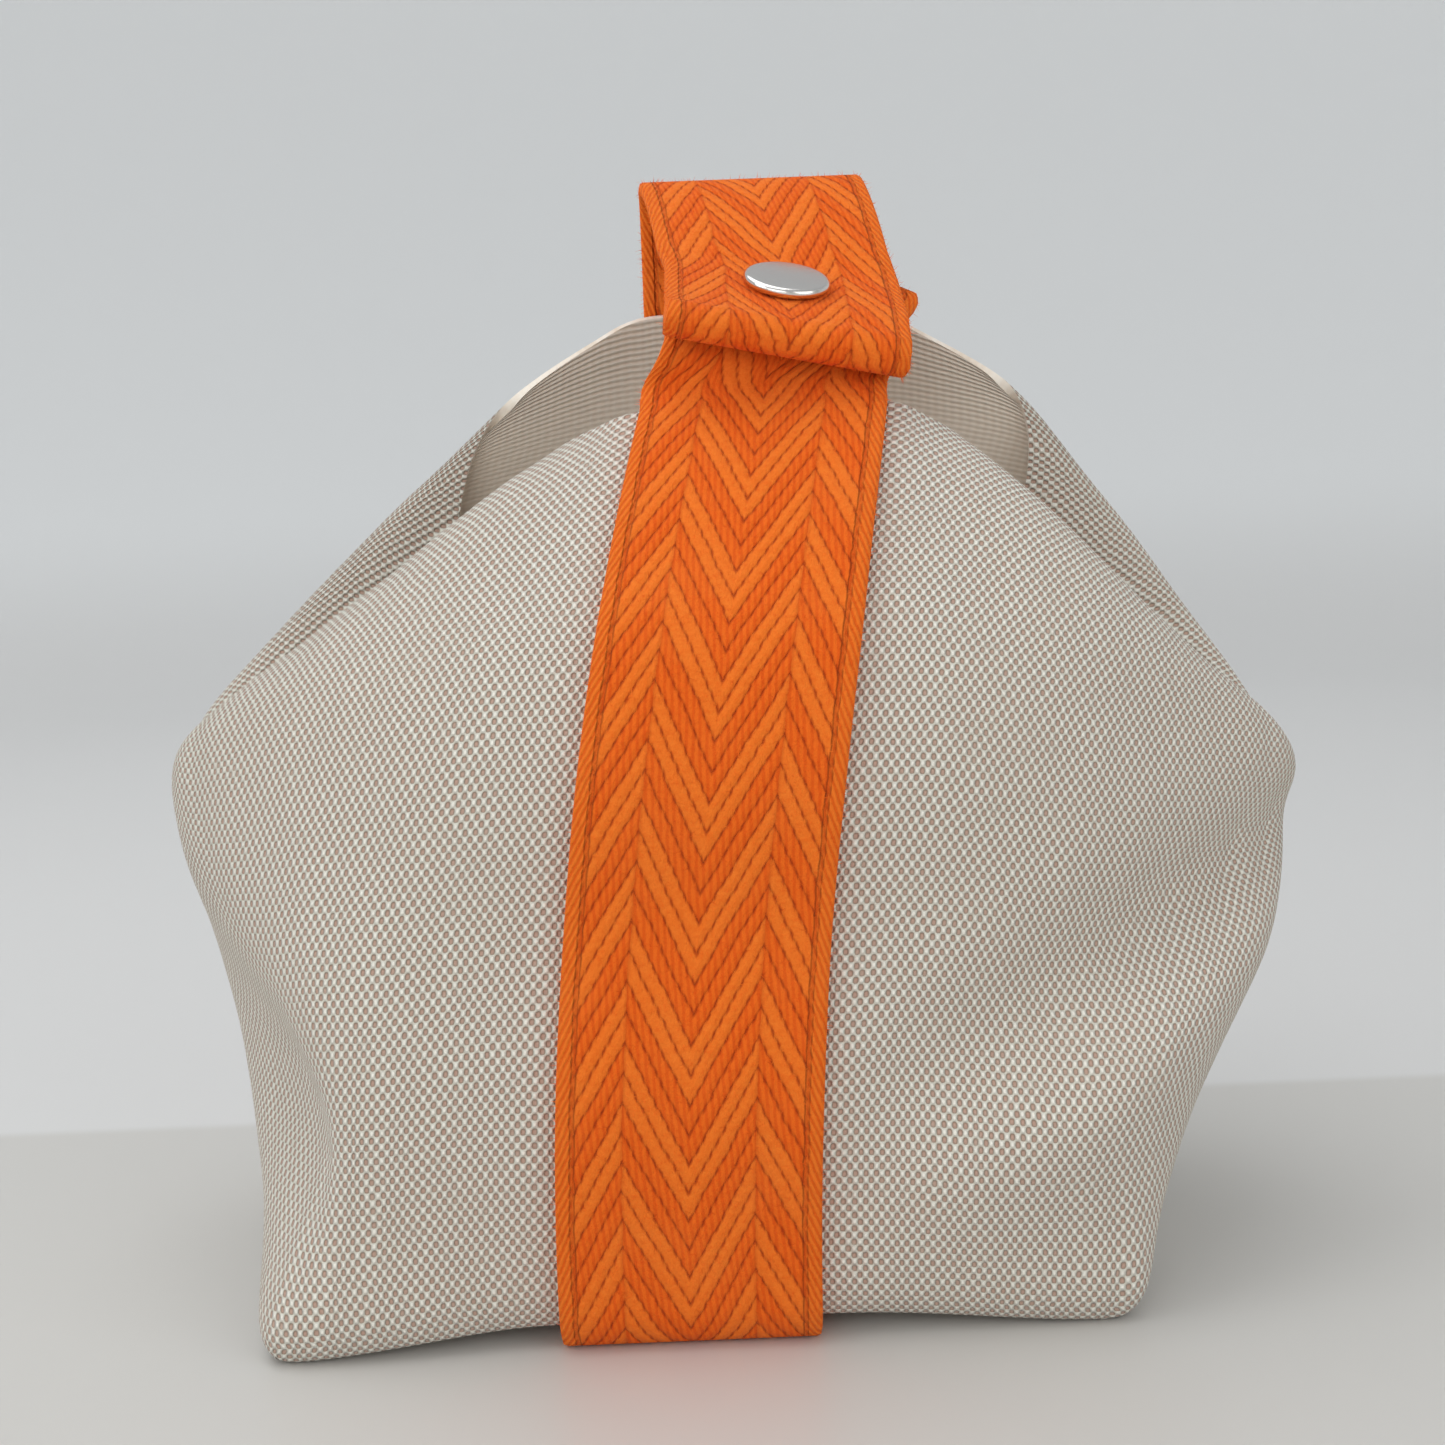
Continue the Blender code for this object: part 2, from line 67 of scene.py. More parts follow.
# Each row is one section of the bag, at a share of the way up its wall. Along a section lie the
# middle of the front, the front fold, the side seam, the back fold and the middle of the back.
# x is a share of half the shoulders' width, y a share of half the base's depth and z a share of
# the front lip's height, or of the back lip's for the back's middle and its fold. round is how
# softly the section turns at its folds.
Section = namedtuple(
    "Section",
    "up front_y front_z fold_x fold_y fold_z seam_x seam_y seam_z back_fold_x back_fold_y "
    "back_fold_z back_y back_z round",
)
SECTIONS = [
    Section(0.00, -0.95, 0.000, 0.695, -0.94, 0.000, 0.700, 0.00, 0.000, 0.695, 0.94, 0.000, 0.95, 0.000, 0.10),
    Section(0.02, -1.00, 0.020, 0.720, -0.99, 0.020, 0.728, 0.00, 0.020, 0.720, 0.99, 0.018, 1.00, 0.018, 0.12),
    Section(0.12, -1.03, 0.136, 0.715, -0.95, 0.136, 0.775, 0.00, 0.136, 0.715, 0.95, 0.122, 1.04, 0.122, 0.30),
    Section(0.25, -1.04, 0.284, 0.700, -0.86, 0.278, 0.850, 0.00, 0.278, 0.710, 0.88, 0.249, 1.06, 0.254, 0.55),
    Section(0.40, -0.97, 0.455, 0.740, -0.72, 0.443, 0.935, 0.00, 0.437, 0.760, 0.76, 0.396, 1.06, 0.406, 0.80),
    Section(0.52, -0.96, 0.591, 0.810, -0.58, 0.570, 0.985, 0.00, 0.530, 0.850, 0.64, 0.500, 1.02, 0.533, 0.95),
    Section(0.60, -0.91, 0.676, 0.860, -0.48, 0.645, 1.000, 0.00, 0.585, 0.910, 0.54, 0.565, 0.99, 0.614, 1.00),
    Section(0.68, -0.82, 0.758, 0.850, -0.42, 0.700, 0.950, 0.02, 0.615, 0.910, 0.49, 0.630, 0.94, 0.695, 1.00),
    Section(0.78, -0.63, 0.852, 0.730, -0.36, 0.772, 0.800, 0.06, 0.600, 0.820, 0.48, 0.720, 0.86, 0.797, 0.95),
    Section(0.89, -0.42, 0.935, 0.570, -0.27, 0.848, 0.620, 0.11, 0.560, 0.700, 0.50, 0.785, 0.75, 0.904, 0.70),
    Section(1.00, -0.20, 1.000, 0.420, -0.14, 0.905, 0.450, 0.16, 0.515, 0.560, 0.54, 0.850, 0.63, 1.000, 0.45),
]

# Each row is one swelling or dent: which side it is on, where its middle is (share of the way up
# and place along the section, 0 at the strap, 1 at the front fold, 2 at the side seam, 4 at the
# back of the strap), how far it spreads each way, how far its middle climbs from one place to the
# next, and how far it moves the canvas sideways (outwards), forwards and upwards.
Dent = namedtuple("Dent", "side up place up_spread place_spread slant outwards forwards upwards")
DENTS = [
    Dent(-1, 0.62, 2.00, 0.20, 1.20, 0.00, -0.0070, 0.0000, 0.0000),
    Dent(-1, 0.22, 1.10, 0.12, 0.32, 0.25, -0.0150, -0.0030, 0.0000),
    Dent(-1, 0.28, 1.55, 0.12, 0.40, 0.30, -0.0020, -0.0070, 0.0000),
    Dent(-1, 0.26, 0.75, 0.14, 0.35, 0.00, 0.0000, 0.0030, 0.0000),
    Dent(-1, 0.00, 1.00, 0.12, 0.90, 0.00, -0.0010, 0.0045, 0.0000),
    Dent(+1, 0.62, 2.00, 0.16, 1.20, 0.00, 0.0020, 0.0000, -0.0090),
    Dent(+1, 0.30, 1.75, 0.24, 0.90, 0.00, 0.0150, 0.0000, 0.0000),
    Dent(+1, 0.39, 1.00, 0.05, 0.80, 0.22, 0.0000, -0.0140, 0.0000),
    Dent(+1, 0.27, 1.05, 0.07, 0.75, 0.16, 0.0000, 0.0090, 0.0000),
]


def smooth(share):
    """0 to 1 with level ends."""
    share = min(1.0, max(0.0, share))
    return share * share * (3 - 2 * share)


def hermite(start, end, start_slope, end_slope, share):
    """A point on the cubic between two points with those slopes."""
    s2, s3 = share * share, share**3
    return (
        start * (2 * s3 - 3 * s2 + 1)
        + start_slope * (s3 - 2 * s2 + share)
        + end * (3 * s2 - 2 * s3)
        + end_slope * (s3 - s2)
    )


def section_at(up):
    """The section at a share of the way up, on a smooth curve through the table's rows."""
    rows = SECTIONS
    i = next(k for k in range(1, len(rows)) if up <= rows[k].up + 1e-9)

    def slope(k, column):
        low, high = max(0, k - 1), min(len(rows) - 1, k + 1)
        return (rows[high][column] - rows[low][column]) / (rows[high].up - rows[low].up)

    step = rows[i].up - rows[i - 1].up
    share = (up - rows[i - 1].up) / step
    return Section(*(
        hermite(rows[i - 1][c], rows[i][c], slope(i - 1, c) * step, slope(i, c) * step, share)
        for c in range(len(Section._fields))
    ))


def lean(z):
    """How far the bag has slumped to the right at this height."""
    return LEAN * min(1.0, max(0.0, z) / FRONT_HEIGHT) ** LEAN_POWER


def base_lift(x, z):
    """How far the strap under the base props the canvas up, fading out to the corners."""
    out = (abs(x) - STRAP_WIDTH * 0.62) / (BASE_WIDTH * 0.5 - STRAP_WIDTH * 0.62)
    return (STRAP_THICK + SEAT_GAP) * (1 - smooth(out)) * (1 - smooth(z / (BASE_DEPTH * 0.35)))


def front_middle(up):
    """The middle of the front at a share of the way up."""
    row = section_at(up)
    return Vector((0, row.front_y * BASE_DEPTH / 2, row.front_z * FRONT_HEIGHT))


def back_middle(up):
    """The middle of the back at a share of the way up."""
    row = section_at(up)
    return Vector((0, row.back_y * BASE_DEPTH / 2, row.back_z * BACK_HEIGHT))


def dented(point, side, up, place):
    """A point of the right or left half moved by the swellings and dents of that side."""
    sideways, forwards, upwards = 0.0, 0.0, 0.0
    for dent in DENTS:
        if dent.side == side:
            from_up = (up - dent.up - dent.slant * (place - dent.place)) / dent.up_spread
            from_place = (place - dent.place) / dent.place_spread
            weight = math.exp(-from_up * from_up - from_place * from_place) * smooth(place / 0.4)
            sideways += dent.outwards * weight
            forwards += dent.forwards * weight
            upwards += dent.upwards * weight
    return Vector((side * (point.x + sideways), point.y - forwards, point.z + upwards))


def half_section(up, side, is_back):
    """The points of a section from the middle of the front or back to the seam on one side."""
    row = section_at(up)
    half_width, half_depth = BODY_WIDTH / 2, BASE_DEPTH / 2
    seam = Vector((row.seam_x * half_width, row.seam_y * half_depth, row.seam_z * FRONT_HEIGHT))
    if is_back:
        middle, facing = back_middle(up), -1
        fold_z = row.back_fold_z * BACK_HEIGHT
        fold = Vector((row.back_fold_x * half_width, row.back_fold_y * half_depth, fold_z))
    else:
        middle, facing = front_middle(up), 1
        fold = Vector((row.fold_x * half_width, row.fold_y * half_depth, row.fold_z * FRONT_HEIGHT))
    flat = STRAP_WIDTH / 2 + CANVAS_MARGIN
    edge = middle + Vector((flat, 0, 0))
    turn = (seam - edge) * row.round
    out = (Vector((1, 0, 0)) * (fold - edge).length).lerp(fold - edge, smooth(up * 2 - 1))
    inward = Vector((0, 1, 0)) * (seam - fold).length * facing
    placed_points = [(middle + Vector((flat * k / STRAP_STEPS, 0, 0)), 0.0) for k in range(STRAP_STEPS)]
    placed_points += [
        (hermite(edge, fold, out, turn, k / FOLD_STEPS), k / FOLD_STEPS) for k in range(FOLD_STEPS)
    ]
    placed_points += [
        (hermite(fold, seam, turn, inward, k / SEAM_STEPS), 1 + k / SEAM_STEPS) for k in range(SEAM_STEPS + 1)
    ]
    return [slumped(dented(p, side, up, 4 - place if is_back else place)) for p, place in placed_points]


def slumped(point):
    """A point of the upright bag moved to where the slumped bag has it."""
    lifted = point.z + base_lift(point.x, point.z)
    return Vector((point.x + lean(lifted), point.y, lifted))


def whole_section(up):
    """The closed ring of points of one section, from the front's middle round by the right."""
    front_right, back_right = half_section(up, 1, False), half_section(up, 1, True)
    front_left, back_left = half_section(up, -1, False), half_section(up, -1, True)
    return front_right + back_right[-2::-1] + back_left[1:] + front_left[-2:0:-1]


def softened(rings):
    """The wall's sections with their sharp turns eased, but for the base's edge and under the strap."""
    half = STRAP_STEPS + FOLD_STEPS + SEAM_STEPS + 1
    order = list(range(half)) + list(range(half - 2, -1, -1))
    order += list(range(1, half)) + list(range(half - 2, 0, -1))
    size = len(order)
    for _ in range(SOFTEN_PASSES):
        eased = [list(ring) for ring in rings]
        for r in range(3, len(rings)):
            for i in range(size):
                if order[i] > STRAP_STEPS:
                    near = [rings[r][i - 1], rings[r][(i + 1) % size]]
                    if r + 1 < len(rings):
                        near += [rings[r - 1][i], rings[r + 1][i]]
                    middle = sum(near, Vector()) / len(near)
                    eased[r][i] = rings[r][i].lerp(middle, 0.5)
        rings = eased
    return rings


def base_ring(edge, share):
    """The base's underside, as the lowest section drawn in towards the middle."""
    return [Vector((p.x * share, p.y * share, base_lift(p.x * share, 0))) for p in edge]


def wall_levels():
    """The shares of the way up at which the bag's wall is cut into sections."""
    return [0.0] + [SECTIONS[1].up + (1 - SECTIONS[1].up) * k / LEVELS for k in range(LEVELS + 1)]


def applied(piece, kind, **settings):
    """Adds a modifier with those settings and applies it."""
    modifier = piece.modifiers.new(kind.lower(), kind)
    for key, value in settings.items():
        setattr(modifier, key, value)
    bpy.context.view_layer.objects.active = piece
    bpy.ops.object.modifier_apply(modifier=modifier.name)


def mesh_piece(name, points, faces, **maps):
    """An object of those points and faces. Each map gives a UV for every corner of every face."""
    mesh = bpy.data.meshes.new(name)
    mesh.from_pydata([tuple(p) for p in points], [], faces)
    for map_name, corners in maps.items():
        layer = mesh.uv_layers.new(name=map_name)
        for face, places in zip(mesh.polygons, corners):
            for loop, uv in zip(face.loop_indices, places):
                layer.data[loop].uv = uv
    piece = bpy.data.objects.new(name, mesh)
    bpy.context.scene.collection.objects.link(piece)
    mesh.shade_smooth()
    return piece


def ring_reaches(ring):
    """How far along the cloth each point of a ring is from the strap's middle, to the right and
    to the left."""
    size, half = len(ring), len(ring) // 2
    right, left = [0.0], [0.0]
    for i in range(1, half + 1):
        right.append(right[-1] + (ring[i] - ring[i - 1]).length)
        left.append(left[-1] + (ring[size - i] - ring[(size - i + 1) % size]).length)
    return right, left


def creased(piece):
    """Uneven hollows and short wrinkles in the cloth, away from the strap and the base."""
    mesh = piece.data
    normals = [v.normal.copy() for v in mesh.vertices]
    for vertex, normal in zip(mesh.vertices, normals):
        at = vertex.co
        beside = smooth((abs(at.x - lean(at.z)) - STRAP_WIDTH / 2 - 0.002) / 0.014)
        free = beside * smooth((at.z - 0.004) / 0.012)
        hollow = noise.noise(at * 34.0) * 0.0007
        wrinkle = noise.noise(Vector((at.x * 75, at.y * 75, at.z * 40))) * 0.0003
        vertex.co = at + normal * (hollow + wrinkle) * free


def make_canvas():
    """The bag's shell. Its map "cloth" has distances across from the strap and up, along each
    panel; "seam" has the distance from the nearest seam and the way along it, and "lip" has the
    distance below the mouth's lip."""
    edge = whole_section(0)
    wall = softened([whole_section(up) for up in wall_levels()])
    rings = [base_ring(edge, k / BASE_RINGS) for k in range(1, BASE_RINGS)] + wall
    size, half, under = len(edge), len(edge) // 2, BASE_RINGS - 1
    points = [p for ring in rings for p in ring] + [Vector((0, 0, base_lift(0, 0)))]
    up_length = [[0.0] * size]
    for below, ring in zip(wall, wall[1:]):
        up_length.append([up_length[-1][i] + (ring[i] - below[i]).length for i in range(size)])
    reaches = [ring_reaches(ring) for ring in wall]
    fold_at, seam_at = STRAP_STEPS + FOLD_STEPS, STRAP_STEPS + FOLD_STEPS + SEAM_STEPS

    def cloth_uv(level, i, of_back):
        right, left = reaches[level]
        if of_back:
            reach = right[half] - right[i] if i <= half else left[size - i] - left[half]
        else:
            reach = right[i] if i <= half else -left[size - i]
        straight = (up_length[level][0] + up_length[level][half]) / 2
        return reach, up_length[level][i % size] * 0.5 + straight * 0.5 + (1.0 if of_back else 0.0)

    def seam_uv(level, i):
        side = reaches[level][0] if i <= half else reaches[level][1]
        k = i if i <= half else size - i
        to_side = abs(side[k] - side[seam_at])
        past_end = max(0.0, side[fold_at] - side[k], side[k] - side[2 * seam_at - fold_at])
        to_base = up_length[level][i % size] + past_end
        return (to_side, up_length[level][i % size]) if to_side < to_base else (to_base, side[k])

    faces, cloth, seam, lip = [], [], [], []
    for r in range(len(rings) - 1):
        for i in range(size):
            j = (i + 1) % size
            faces.append((r * size + i, r * size + j, (r + 1) * size + j, (r + 1) * size + i))
            if r < under:
                cloth.append([(points[k].x, points[k].y + 2.0) for k in faces[-1]])
                seam.append([(0.05, 0.0)] * 4)
                lip.append([(0.2, 0.0)] * 4)
            else:
                level, last = r - under, j or size
                of_back = seam_at <= i < size - seam_at
                corners = ((level, i), (level, last), (level + 1, last), (level + 1, i))
                cloth.append([cloth_uv(a, b, of_back) for a, b in corners])
                seam.append([seam_uv(a, b) for a, b in corners])
                lip.append([(up_length[-1][b % size] - up_length[a][b % size], 0.0) for a, b in corners])
    for i in range(size):
        faces.append(((i + 1) % size, i, len(points) - 1))
        cloth.append([(points[k].x, points[k].y + 2.0) for k in faces[-1]])
        seam.append([(0.05, 0.0)] * 3)
        lip.append([(0.2, 0.0)] * 3)
    piece = mesh_piece("canvas", points, faces, cloth=cloth, seam=seam, lip=lip)
    crease = piece.data.attributes.new("crease_edge", "FLOAT", "EDGE")
    base_edge = range(under * size, (under + 1) * size)
    for k, line in enumerate(piece.data.edges):
        if line.vertices[0] in base_edge and line.vertices[1] in base_edge:
            crease.data[k].value = 0.55
    applied(piece, "SUBSURF", levels=2, render_levels=2, uv_smooth="NONE", boundary_smooth="PRESERVE_CORNERS")
    creased(piece)
    piece.data.materials.append(canvas_material())
    piece.data.materials.append(reverse_material())
    applied(piece, "SOLIDIFY", thickness=CANVAS, offset=-1, material_offset=1, material_offset_rim=1)
    sharp = math.radians(75)
    applied(piece, "BEVEL", width=CANVAS * 0.4, segments=3, limit_method="ANGLE", angle_limit=sharp)
    piece.data.shade_smooth()
    return piece


class Nodes:
    """A material's node tree, with short ways to add and join nodes."""

    def __init__(self, name):
        self.material = bpy.data.materials.new(name)
        self.material.use_nodes = True
        self.tree = self.material.node_tree
        self.shader = self.tree.nodes["Principled BSDF"]

    def put(self, socket, value):
        if hasattr(value, "is_linked"):
            self.tree.links.new(value, socket)
        else:
            socket.default_value = value

    def add(self, kind, inputs=(), **settings):
        node = self.tree.nodes.new(kind)
        for key, value in settings.items():
            setattr(node, key, value)
        for slot, value in dict(inputs).items():
            self.put(node.inputs[slot], value)
        return node

    def finish(self, **inputs):
        """Sets the shader's own inputs, given with _ for spaces."""
        for slot, value in inputs.items():
            self.put(self.shader.inputs[slot.replace("_", " ")], value)
        return self.material

    def math(self, operation, *values):
        return self.add("ShaderNodeMath", enumerate(values), operation=operation).outputs[0]

    def ramp(self, value, low, high, to_low=0.0, to_high=1.0):
        """Runs smoothly from to_low to to_high as the value runs from low to high."""
        inputs = enumerate((value, low, high, to_low, to_high))
        return self.add("ShaderNodeMapRange", inputs, interpolation_type="SMOOTHSTEP").outputs[0]

    def mix(self, share, first, second):
        return self.add("ShaderNodeMix", {0: share, 6: first, 7: second}, data_type="RGBA").outputs[2]

    def colours(self, value, *stops):
        """A colour ramp through (position, colour) stops."""
        node = self.add("ShaderNodeValToRGB", {0: value})
        ramp = node.color_ramp
        for k, (position, colour) in enumerate(stops):
            stop = ramp.elements[k] if k < 2 else ramp.elements.new(position)
            stop.position = position
            stop.color = (*colour, 1)
        return node.outputs[0]

    def noise(self, vector, scale, detail=2.0, roughness=0.5):
        inputs = {"Vector": vector, "Scale": scale, "Detail": detail, "Roughness": roughness}
        return self.add("ShaderNodeTexNoise", inputs).outputs["Fac"]

    def shaken(self, vector, scale, amount):
        """The coordinates with a small uneven shift, so that no thread runs dead straight."""
        wobble = self.add("ShaderNodeTexNoise", {"Vector": vector, "Scale": scale, "Detail": 2.0})
        middle = {0: wobble.outputs["Color"], 1: (0.5, 0.5, 0.5)}
        shift = self.add("ShaderNodeVectorMath", middle, operation="SUBTRACT").outputs[0]
        small = self.add("ShaderNodeVectorMath", {0: shift, "Scale": amount}, operation="SCALE").outputs[0]
        return self.add("ShaderNodeVectorMath", {0: vector, 1: small}, operation="ADD").outputs[0]

    def bump(self, height, distance):
        """The height, 0 to 1, as relief of that depth in metres."""
        inputs = {"Height": height, "Distance": distance, "Strength": 1.0}
        return self.add("ShaderNodeBump", inputs).outputs[0]


THREAD_ACROSS = 0.00176  # between the cream floats in one row
THREAD_UP = 0.00123  # between one row and the next


def canvas_material():
    """Two-tone canvas: rounded cream floats in a chequer, with brown weft low between them, and a
    puckered groove along the seams."""
    n = Nodes("canvas")
    uv = n.add("ShaderNodeUVMap", uv_map="cloth").outputs[0]
    place = n.add("ShaderNodeSeparateXYZ", {0: n.shaken(uv, 90.0, 0.0009)})
    across = n.math("COSINE", n.math("MULTIPLY", place.outputs[0], 2 * math.pi / THREAD_ACROSS))
    upward = n.math("COSINE", n.math("MULTIPLY", place.outputs[1], math.pi / THREAD_UP))
    floats = n.math("MULTIPLY", across, upward)
    strand = n.noise(uv, 2600.0, 3.0, 0.7)
    fleck = n.noise(uv, 420.0, 1.0, 0.5)
    patch = n.noise(uv, 30.0, 3.0, 0.6)
    ragged = n.math("ADD", floats, n.math("MULTIPLY", n.math("SUBTRACT", strand, 0.5), 0.35))
    share = n.math("MULTIPLY_ADD", ragged, 0.5, 0.5)
    # The ramp holds the weave's own brown weft and cream floats, and paints light on them: the colour darkens
    # towards each float's rim, down to the darkest band at 0.38, as painted shade, and the cream grows paler
    # towards each float's middle as a painted highlight.
    thread_and_painted_light = n.colours(
        share, (0.0, (0.540, 0.360, 0.285)), (1.0, (0.915, 0.900, 0.815)), (0.26, (0.460, 0.310, 0.240)),
        (0.38, (0.360, 0.265, 0.205)), (0.46, (0.690, 0.650, 0.550)), (0.60, (0.880, 0.865, 0.770)),
    )
    flecked = n.mix(n.ramp(fleck, 0.50, 0.85, 0.0, 0.30), thread_and_painted_light, (0.62, 0.55, 0.46, 1))
    soiled = n.mix(n.ramp(patch, 0.45, 0.85, 0.0, 0.16), flecked, (0.60, 0.50, 0.40, 1))
    seam = n.add("ShaderNodeSeparateXYZ", {0: n.add("ShaderNodeUVMap", uv_map="seam").outputs[0]})
    pucker = n.math("SINE", n.math("MULTIPLY", seam.outputs[1], 2 * math.pi / 0.0055))
    width = n.math("MULTIPLY_ADD", pucker, 0.0003, 0.0022)
    groove = n.ramp(n.math("DIVIDE", seam.outputs[0], width), 0.0, 1.0, 1.0, 0.0)
    colour = n.mix(n.math("MULTIPLY", groove, 0.45), soiled, (0.33, 0.25, 0.19, 1))
    raised = n.math("MULTIPLY_ADD", n.ramp(floats, -0.85, 0.95), 0.8, n.math("MULTIPLY", strand, 0.2))
    height = n.math("SUBTRACT", raised, n.math("MULTIPLY", groove, 1.6))
    return n.finish(Base_Color=colour, Roughness=0.93, Sheen_Weight=0.35, Sheen_Roughness=0.45,
                    Specular_IOR_Level=0.15, Normal=n.bump(height, 0.0008))


def reverse_material():
    """The canvas from inside, with the weft as fine ribs that are plainest near the lip. Its pale colour is
    partly the cloth's own and partly painted light, which lifts the shaded inside of the bag.
    """
    n = Nodes("canvas_reverse")
    uv = n.add("ShaderNodeUVMap", uv_map="cloth").outputs[0]
    place = n.add("ShaderNodeSeparateXYZ", {0: n.shaken(uv, 90.0, 0.0006)})
    rib = n.math("SINE", n.math("MULTIPLY", place.outputs[1], 2 * math.pi / THREAD_UP))
    dot = n.math("COSINE", n.math("MULTIPLY", place.outputs[0], 2 * math.pi / THREAD_ACROSS))
    below = n.add("ShaderNodeSeparateXYZ", {0: n.add("ShaderNodeUVMap", uv_map="lip").outputs[0]}).outputs[0]
    plain = n.ramp(below, 0.004, 0.020, 1.0, 0.35)
    dots = n.math("MULTIPLY_ADD", dot, 0.10, 0.5)
    relief = n.math("MULTIPLY_ADD", n.math("MULTIPLY", rib, plain), 0.42, dots)
    strand = n.noise(uv, 2600.0, 3.0, 0.7)
    # These colours are partly painted light: they are set pale to lift the inside of the bag, which the lamps
    # barely reach.
    thread_and_painted_light = n.colours(
        n.math("MULTIPLY_ADD", strand, 0.2, n.math("SUBTRACT", relief, 0.1)),
        (0.0, (0.810, 0.700, 0.570)), (1.0, (0.940, 0.880, 0.780)), (0.5, (0.900, 0.810, 0.690)),
    )
    return n.finish(Base_Color=thread_and_painted_light, Roughness=0.95, Sheen_Weight=0.3, Sheen_Roughness=0.5,
                    Specular_IOR_Level=0.1, Normal=n.bump(relief, 0.00025))


canvas = make_canvas()
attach(canvas, "root")
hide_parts("canvas_bag")


# Strap. The real one is one length of thick chevron webbing, sewn to the canvas down the front,
# under the base and up the back, with the flap's end turned in. It is a ribbon along the solid's
# own line, cut finely, with the distances along the cloth as its UV map.

SNAP_RISE = 0.0189  # from the front lip up to the outer layer at the snap
SNAP_BACK = 0.0100  # from the front lip back to it
SNAP_SLOPE = math.radians(24)  # how steeply the two layers rise to the back at the snap
FLAP_DROOP = math.radians(9)  # how much steeper the flap hangs at its end
CREST_SLOPE = math.radians(44)  # how steeply the outer layer climbs to the crest
FLAP_END = 0.0205  # from the snap's middle to each layer's end
INNER_END = 0.018
HEM = 0.007  # the turned-in end, twice the webbing's thickness
CREST_BACK = 0.0150  # from the snap to the start of the crest
CREST_RISE = 0.0094
CREST_ROUND = 0.031
APEX_ROUND = 0.007
HANDLE_TWIST = math.radians(14)  # the flap's right edge droops, most at its end
SNAP_TWIST = 0.6  # the share of that twist at the snap
HANDLE_DRIFT = 0.0050  # and it lies further to the right there
INNER_SKEW = 0.0062  # the inner end runs on to the right, past the outer layer's edge
INNER_LIFT = 0.0016  # and turns up a little
BEND_STEPS = 14
SHANK_RADIUS = 0.0022
SOCKET_THICK = 0.0016
FLANGE_THICK = 0.0010
LAYER_GAP = SOCKET_THICK + FLANGE_THICK + 3 * SEAT_GAP


def slope_of(angle):
    """The direction that rises to the back at this angle."""
    return Vector((0, math.cos(angle), math.sin(angle)))


def moved_out(line, distance):
    """A line in the YZ plane moved to its left by a distance, its corners mitred."""
    moved = []
    for i, point in enumerate(line):
        before = (point - line[i - 1]).normalized() if i else None
        after = (line[i + 1] - point).normalized() if i < len(line) - 1 else None
        before, after = before or after, after or before
        run = (before + after).normalized()
        square = Vector((0, -run.z, run.y))
        moved.append(point + square * distance / max(0.5, run.dot(after)))
    return moved


def bezier(start, start_handle, end_handle, end, steps):
    """Points along a cubic bend, without its two ends."""
    points = []
    for k in range(1, steps):
        s = k / steps
        points.append(
            start * (1 - s) ** 3
            + start_handle * 3 * s * (1 - s) ** 2
            + end_handle * 3 * s * s * (1 - s)
            + end * s**3
        )
    return points


# One station of the strap: its middle, its sideways drift, how much of the handle's twist it has,
# and how far its upper and lower faces are from the middle line.
Station = namedtuple("Station", "middle drift twist over under")


def flap_point(snap, reach):
    """A point of the flap's middle line, this far in front of the snap: straight past the snap's
    own width, then bending down to the flap's end."""
    flat = SHANK_RADIUS * 3
    point = snap - slope_of(SNAP_SLOPE) * min(reach, flat)
    if reach > flat:
        bend = FLAP_DROOP / (FLAP_END - flat)
        end = SNAP_SLOPE + bend * (reach - flat)
        point.y -= (math.sin(end) - math.sin(SNAP_SLOPE)) / bend
        point.z -= (math.cos(SNAP_SLOPE) - math.cos(end)) / bend
    return point


